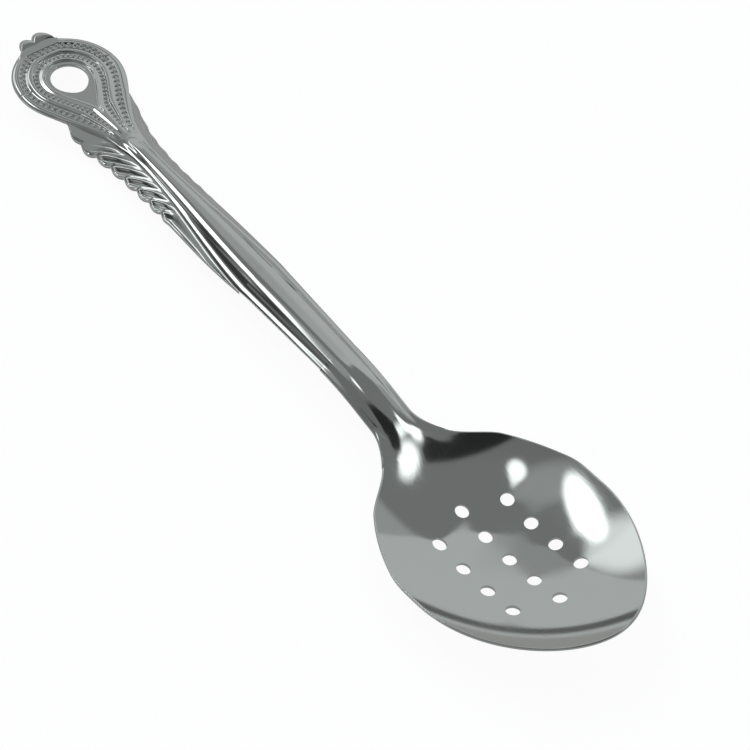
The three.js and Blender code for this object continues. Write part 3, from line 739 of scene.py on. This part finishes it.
def head_top(hand):
    """Top of one half of the head with its seam, and the same without the seam for the underside."""
    outer, inner, field_rows = band_places()
    go = np.gradient(outer, axis=0)
    out = unit(np.stack([-go[:, 1], go[:, 0]], -1))
    free = (outer[:, 0] > CROWN_PLANE + 0.01) & (outer[:, 0] < WING_START_X)
    run_out = 1 - ease(outer[:, 0], WING_START_X - EDGE_RUN, WING_START_X)
    edge = np.where(free, EDGE_ROUND * run_out, 0.0)
    outer = outer - edge[:, None] * out
    share = np.linspace(0, 1, BAND_COLUMNS + 1)
    plan = mix(outer[:, None], inner[:, None], share[:, None])
    x, y = plan[..., 0], plan[..., 1]
    rim_keep = ease(outer[:, :1], CROWN_PLANE, CROWN_PLANE + RIM_START)
    broad = np.clip(np.linalg.norm(outer - inner, axis=1) / LOOP_BAND, 0, 1)[:, None]
    tail_keep = broad * (1 - ease(x, HEAD_PLANE - TAIL_FADE, HEAD_PLANE))
    open_field = 1 - ease(x, FIELD_TIP_X, FIELD_TIP_X + FIELD_CLOSE)
    plain = crest_height(x) + band_relief(share, rim_keep, tail_keep, open_field)
    plain = plain + arch(x, y, 0) * ease(x, FIELD_TIP_X, HEAD_PLANE - ARCH_LEAD)
    seam = np.exp(-((x - SEAM_X) / SEAM_WIDTH) ** 2 / 2) * (1 - ease(share, *SEAM_STEP))
    dressed = plain - SEAM_DEPTH * seam
    height = np.stack([dressed, plain], 0)
    flat = np.broadcast_to(plan, (2, *plan.shape)) * [1, hand]
    return np.concatenate([flat, height[..., None]], -1), edge, out * [1, hand], field_rows


def field_top(inner, hand):
    """Flat field from the band's inner edge to the eye, which is drawn out a little to the stem."""
    angle = np.arctan2(inner[:, 1], inner[:, 0] - LOOP_CENTRE_X)
    radius = EYE_RADIUS + EYE_ROUND + EYE_POINT * np.clip(np.cos(angle), 0, 1) ** EYE_POINT_POWER
    eye = radius[:, None] * np.stack([np.cos(angle), np.sin(angle)], -1) + [LOOP_CENTRE_X, 0]
    plan = mix(inner[:, None], eye[:, None], np.linspace(0, 1, FIELD_COLUMNS + 1)[1:, None])
    z = crest_height(plan[..., 0]) - FIELD_DEPTH
    out = np.stack([-np.cos(angle), -np.sin(angle) * hand, np.zeros_like(angle)], -1)
    return np.concatenate([plan * [1, hand], z[..., None]], -1), out


def head_half(hand):
    """Two closed strips: the band with the field round the eye, and the tail past the field."""
    (top, plain), edge, out, rows = head_top(hand)
    out = np.concatenate([out, np.zeros((len(out), 1))], -1)
    field, eye_out = field_top(plain[:rows, -1, :2] * [1, hand], hand)
    drop = np.array([0, 0, SHEET])
    loop_top, loop_plain = (np.concatenate([t[:rows], field], 1) for t in (top, plain))
    eye_round = np.full(rows, EYE_ROUND)
    loop = closed_strip(loop_top, loop_plain - drop, out[:rows], eye_out, edge[:rows], eye_round)
    middle = np.broadcast_to([0.0, -hand, 0.0], (len(top) - rows + 1, 3))
    tail_out, tail_edge = out[rows - 1:], edge[rows - 1:]
    none = np.zeros(len(tail_edge))
    tail = closed_strip(top[rows - 1:], plain[rows - 1:] - drop, tail_out, middle, tail_edge, none)
    return loop, tail


BEAD_RINGS, BEAD_SIDES = 5, 9


def ellipsoids(centres, along, semi_axes):
    """Closed ellipsoids on the handle's plane: axes along the row, across it and up from the plane."""
    up = np.broadcast_to(unit(np.array([STEM_SLOPE, 0.0, 1.0])), centres.shape)
    along = unit(np.column_stack([along, -STEM_SLOPE * along[:, 0]]))
    frames = np.stack([along, np.cross(up, along), up], 1)
    down = np.linspace(0, np.pi, BEAD_RINGS + 1)[:, None]
    turn = np.linspace(0, 2 * np.pi, BEAD_SIDES, endpoint=False)
    sides = np.sin(down) * np.cos(turn), np.sin(down) * np.sin(turn), np.cos(down)
    ball = np.stack(np.broadcast_arrays(*sides), -1)
    points = centres[:, None, None] + np.einsum("rsk,bkj->brsj", ball * semi_axes, frames)
    normals = np.einsum("rsk,bkj->brsj", unit(ball / semi_axes), frames)
    copies = np.arange(len(centres))[:, None, None] * ball[..., 0].size
    faces = (grid_faces(BEAD_RINGS + 1, BEAD_SIDES, True) + copies).reshape(-1, 4)
    return points.reshape(-1, 3), normals.reshape(-1, 3), [faces]


def bead_row(share, pitch, semi_axes, end_x):
    """Evenly spaced beads along one share of the band, on both sides of the head."""
    outer, inner, _ = band_places()
    line = mix(outer, inner, share)
    run = run_length(line)
    go = unit(np.gradient(line, axis=0))
    place = np.arange(pitch / 2, run[-1], pitch)
    x, y, along_x, along_y = (np.interp(place, run, v) for v in (*line.T, *go.T))
    keep = x < end_x
    x, y, along_x, along_y = (np.concatenate([v[keep]] * 2) for v in (x, y, along_x, along_y))
    hand = np.repeat([1, -1], keep.sum())
    centres = np.column_stack([x, y * hand, crest_height(x) - CHANNEL_DEPTH])
    return ellipsoids(centres, np.column_stack([along_x, along_y * hand]), np.array(semi_axes))


OUTER_BEAD, INNER_BEAD, RIB = (0.6, 0.45, 0.5), (0.6, 0.45, 0.55), (0.42, 0.65, 0.45)
OUTER_BEAD_SHARE, INNER_BEAD_SHARE, RIB_SHARE = 0.265, 0.365, 0.735
BEAD_PITCH, RIB_PITCH, ROWS_END_X = 1.7, 1.4, -151.0
bead_rows = [
    bead_row(OUTER_BEAD_SHARE, BEAD_PITCH, OUTER_BEAD, ROWS_END_X),
    bead_row(INNER_BEAD_SHARE, BEAD_PITCH, INNER_BEAD, ROWS_END_X),
    bead_row(RIB_SHARE, RIB_PITCH, RIB, ROWS_END_X),
]
steel_piece("beaded_loop", "loop_head", *head_half(1), *head_half(-1), *bead_rows)

# %% [markdown]
# ## The crown
# Two domed lobes of unlike size sit on the end of the loop. One grid does it: rows across the seat, and
# shares of the reach out to the lobes' edge.

# %% Crown piece
LOBE_REACH, LARGE_LOBE_RADIUS, LARGE_LOBE_OFFSET = 2.0, 2.9, 2.4
SMALL_LOBE_RADIUS, SMALL_LOBE_OFFSET, LOBE_DOME, DOME_START = 2.4, -2.5, 0.6, 0.2
CROWN_ROWS, CROWN_COLUMNS = 120, 32


def crown_shell():
    """Sheet from the seat to the lobes: reach is a flat arch plus the larger of two half circles."""
    seat = float(loop_half_width(np.array(CROWN_PLANE)))
    y = np.linspace(-seat, seat, CROWN_ROWS + 1)
    large = LARGE_LOBE_RADIUS ** 2 - (y - LARGE_LOBE_OFFSET) ** 2
    small = SMALL_LOBE_RADIUS ** 2 - (y - SMALL_LOBE_OFFSET) ** 2
    lobes = np.sqrt(np.maximum(0, np.maximum(large, small)))
    reach = LOBE_REACH * (1 - (y / seat) ** 4) + lobes
    edge = np.minimum(EDGE_ROUND, reach / 3)
    share = np.linspace(0, 1, CROWN_COLUMNS + 1)
    x = CROWN_PLANE - (reach - edge)[:, None] * share
    dome = np.sin(np.pi * np.clip((share - DOME_START) / (1 - DOME_START), 0, 1))
    swell = LOBE_DOME * (lobes / LARGE_LOBE_RADIUS)[:, None] * dome
    z = crest_height(x) + swell - EDGE_DROP * share ** 4
    top = np.stack([x, np.broadcast_to(y[:, None], x.shape), z], -1)
    back = np.broadcast_to([1.0, 0.0, 0.0], (len(y), 3))
    return closed_strip(top, top - np.array([0, 0, SHEET]), back, -back, np.zeros(len(y)), edge)


steel_piece("lobed_crown", "crown", crown_shell())

# %% [markdown]
# ## Camera
# The spoon is seen from above, from the near side of its tip. The view was worked out in the drawing's
# own frame, so the camera is turned on to the table together with the spoon.

# %% Camera
VIEW_AZIMUTH, VIEW_ELEVATION = np.radians(49.296), np.radians(44.207)
VIEW_DISTANCE, VIEW_TARGET = 500.0, np.array([-67.637, 16.505, 0.0])
FOCAL_PIXELS, IMAGE_WIDTH, SENSOR_WIDTH = 1941.819, 750, 36.0
flat_way = np.array([np.sin(VIEW_AZIMUTH), -np.cos(VIEW_AZIMUTH), 0.0])
back = np.cos(VIEW_ELEVATION) * flat_way + [0, 0, np.sin(VIEW_ELEVATION)]
right = np.array([np.cos(VIEW_AZIMUTH), np.sin(VIEW_AZIMUTH), 0.0])
axes = to_table(np.stack([right, np.cross(back, right), back]))
eye = (to_table(VIEW_TARGET + VIEW_DISTANCE * back) + REST_SHIFT) * MILLIMETRE
lens = bpy.data.cameras.new("view")
lens.sensor_width = SENSOR_WIDTH
lens.lens = FOCAL_PIXELS * SENSOR_WIDTH / IMAGE_WIDTH
view = bpy.data.objects.new("view", lens)
view.matrix_world = Matrix.Translation(eye.tolist()) @ Matrix(axes.T.tolist()).to_4x4()
bpy.context.scene.collection.objects.link(view)
bpy.context.scene.camera = view
bpy.context.scene.view_settings.view_transform = "Standard"
print("camera", round(float(np.linalg.norm(eye)), 3), "m away, lens", round(lens.lens, 1), "mm")

# %% [markdown]
# ## Floor and room
# Mirror steel is a picture of its room. The room here is a plain studio: a pale floor, a light grey card
# with a round top on the far side, a darker ceiling, and soft lamps and dark screens, most of them on
# the left. All of it is in the world's colour, worked out from the direction that a ray leaves in, so it
# lights the spoon softly from all round.

# %% Floor
FLOOR_SIZE, FLOOR_GLOW, FLOOR_MIRRORED, FLOOR_SHARE = 6.0, 1.24, 0.42, 0.74
FLOOR_COLOUR = (0.82, 0.82, 0.82, 1.0)
corner = FLOOR_SIZE / 2
floor_mesh = bpy.data.meshes.new("floor")
corners = [(-corner, -corner, 0), (corner, -corner, 0), (corner, corner, 0), (-corner, corner, 0)]
floor_mesh.from_pydata(corners, [], [(0, 1, 2, 3)])
floor = bpy.data.objects.new("floor", floor_mesh)
bpy.context.scene.collection.objects.link(floor)
pale = bpy.data.materials.new("pale_floor")
pale.use_nodes = True
pale_tree = pale.node_tree
pale_tree.nodes.clear()
ray = add_node(pale_tree, "ShaderNodeLightPath")
straight, mirrored, passed = (ray.outputs[f"Is {kind} Ray"] for kind in ("Camera", "Glossy", "Transmission"))
seen = add_node(pale_tree, "ShaderNodeMath", {0: straight, 1: mirrored}, operation="MAXIMUM")
shown = add_node(pale_tree, "ShaderNodeMath", {0: seen.outputs[0], 1: passed}, operation="MAXIMUM")
amount = add_node(pale_tree, "ShaderNodeMath", {0: shown.outputs[0], 1: FLOOR_SHARE}, operation="MULTIPLY")
matt = add_node(pale_tree, "ShaderNodeBsdfDiffuse", {"Color": FLOOR_COLOUR})
levels = {0: straight, 1: FLOOR_GLOW - FLOOR_MIRRORED, 2: FLOOR_MIRRORED}
level = add_node(pale_tree, "ShaderNodeMath", levels, operation="MULTIPLY_ADD")
white = {"Color": (1.0, 1.0, 1.0, 1.0), "Strength": level.outputs[0]}
glow = add_node(pale_tree, "ShaderNodeEmission", white)
blend = {0: amount.outputs[0], 1: matt.outputs[0], 2: glow.outputs[0]}
both = add_node(pale_tree, "ShaderNodeMixShader", blend)
add_node(pale_tree, "ShaderNodeOutputMaterial", {"Surface": both.outputs[0]})
floor_mesh.materials.append(pale)

# %% Room
CAMERA_BEARING = 141.06
CARD_GREY, CARD_LEFT_GREY, CEILING_GREY, DARK_GREY, LOW_GREY = 0.58, 0.36, 0.23, 0.03, 0.34
BACK_GREY, CARD_TOP, CARD_BEND, CARD_ASIDE, CARD_BLUR = 0.22, 1.6, 2.6, 0.1, 0.06
FRONT_TURN, FOOT_LOSS, LOW_RIGHT_GAIN, CEILING_BACK_GAIN = 0.75, 0.75, 1.2, 0.9
GRAZING, LAMP_FALL, FRONT_EDGE, CEILING_FADE = 0.05, (0.25, 1.6), (0.0, 0.03), (-0.05, 0.15)
BACK_HIGH, BACK_LEFT, DIM_ACROSS, DIM_UP = (0.86, 0.9), (0.08, 0.2), (-0.15, 0.4), (0.65, 0.9)
LOW_TOP, LOW_ACROSS, FOOT_START, FOOT_END = (0.55, 0.66), (-0.2, 0.2), (0.02, 0.045), (0.085, 0.11)
ROOM_TINT = (0.945, 1.0, 1.005)
world = bpy.data.worlds.new("studio")
bpy.context.scene.world = world
world.use_nodes = True
room_tree = world.node_tree
room_tree.nodes.clear()
toward = add_node(room_tree, "ShaderNodeTexCoord").outputs["Generated"]


def bearing(azimuth, elevation):
    """Direction in the room: azimuth from the camera's own side, clockwise from above, in degrees."""
    a, e = np.radians(CAMERA_BEARING + azimuth), np.radians(elevation)
    return np.array([np.sin(a) * np.cos(e), np.cos(a) * np.cos(e), np.sin(e)])


def part_along(direction):
    """Part of the ray's direction along a fixed direction."""
    sockets = {0: toward, 1: tuple(float(v) for v in direction)}
    return add_node(room_tree, "ShaderNodeVectorMath", sockets, operation="DOT_PRODUCT").outputs["Value"]


def sums(operation, a, b=0.0, c=0.0):
    """One step of arithmetic on values or sockets."""
    return add_node(room_tree, "ShaderNodeMath", {0: a, 1: b, 2: c}, operation=operation).outputs[0]


def ramp(value, low, high, at_low=0.0, at_high=1.0):
    """Eased change from one value to another while a value goes from low to high."""
    sockets = {"Value": value, "From Min": low, "From Max": high, "To Min": at_low, "To Max": at_high}
    return add_node(room_tree, "ShaderNodeMapRange", sockets, interpolation_type="SMOOTHSTEP").outputs[0]


def lamp(start, end, half_breadth, strength):
    """Soft oblong lamp between two bearings: its light falls off where (u/U)^2 + (v/V)^2 passes 1."""
    a, b = bearing(*start), bearing(*end)
    middle = unit(a + b)
    long_way = unit(b - a)
    half_length = float(np.linalg.norm(b - a) / np.linalg.norm(a + b))
    facing = part_along(middle)
    safe = sums("MAXIMUM", facing, GRAZING)
    u = sums("DIVIDE", part_along(np.cross(middle, long_way) / half_breadth), safe)
    v = sums("DIVIDE", part_along(long_way / half_length), safe)
    spread = sums("ADD", sums("MULTIPLY", u, u), sums("MULTIPLY", v, v))
    lit = sums("MULTIPLY", ramp(spread, *LAMP_FALL, 1.0, 0.0), sums("GREATER_THAN", facing, GRAZING))
    return sums("MULTIPLY", lit, strength)


far, left, upward = part_along(bearing(180, 0)), part_along(bearing(90, 0)), part_along((0, 0, 1))
depth = sums("MAXIMUM", far, GRAZING)
sideways, height = sums("DIVIDE", left, depth), sums("DIVIDE", upward, depth)
aside = sums("SUBTRACT", sideways, CARD_ASIDE)
card_top = sums("SUBTRACT", CARD_TOP, sums("MULTIPLY", sums("MULTIPLY", aside, aside), CARD_BEND))
under_top = ramp(sums("SUBTRACT", card_top, height), -CARD_BLUR, CARD_BLUR)
card = sums("MULTIPLY", under_top, sums("GREATER_THAN", far, GRAZING))
high_back = ramp(upward, *BACK_HIGH, BACK_GREY, DARK_GREY)
overhead = sums("MAXIMUM", high_back, ramp(left, *BACK_LEFT, DARK_GREY, BACK_GREY))
front = ramp(sums("MULTIPLY_ADD", left, FRONT_TURN, far), *FRONT_EDGE)
behind = sums("MULTIPLY_ADD", sums("SUBTRACT", CEILING_GREY, overhead), front, overhead)
ceiling = sums("MULTIPLY", behind, ramp(far, *CEILING_FADE, CEILING_BACK_GAIN, 1.0))
dim = sums("MULTIPLY", ramp(sideways, *DIM_ACROSS), ramp(height, *DIM_UP))
tone = sums("MULTIPLY_ADD", dim, CARD_LEFT_GREY - CARD_GREY, CARD_GREY)
room = sums("ADD", sums("MULTIPLY", tone, card), sums("MULTIPLY", ceiling, sums("SUBTRACT", 1.0, card)))
low_side = ramp(left, *LOW_ACROSS, LOW_RIGHT_GAIN, 1.0)
low = sums("MULTIPLY", ramp(upward, *LOW_TOP, LOW_GREY, 0.0), low_side)
room = sums("MAXIMUM", room, low)
foot = sums("MULTIPLY", ramp(height, *FOOT_START), ramp(height, *FOOT_END, 1.0, 0.0))
room = sums("MULTIPLY", room, sums("MULTIPLY_ADD", sums("MULTIPLY", foot, card), -FOOT_LOSS, 1.0))
SCREENS = [
    ((90, 57), (82, 34), 0.08, 0.75),
    ((48, 12), (104, 12), 0.07, 0.85),
]
for screen_values in SCREENS:
    room = sums("MULTIPLY", room, sums("SUBTRACT", 1.0, lamp(*screen_values)))
LAMPS = [
    ((102, 62), (131, 40), 0.085, 2.6),
    ((138, 20), (120, 42), 0.18, 0.75),
    ((124, 76), (124, 83), 0.06, 1.5),
    ((242, 61), (225, 48), 0.06, 2.0),
    ((96, 72), (126, 62), 0.22, 0.16),
    ((48, 23), (104, 23), 0.04, 1.4),
    ((44, 2), (110, 2), 0.05, 1.7),
]
for lamp_values in LAMPS:
    room = sums("ADD", room, lamp(*lamp_values))
tint = {"Color": (*ROOM_TINT, 1.0), "Strength": room}
light = add_node(room_tree, "ShaderNodeBackground", tint)
add_node(room_tree, "ShaderNodeOutputWorld", {"Surface": light.outputs[0]})
print("room with", len(LAMPS), "lamps and", len(SCREENS), "screens")
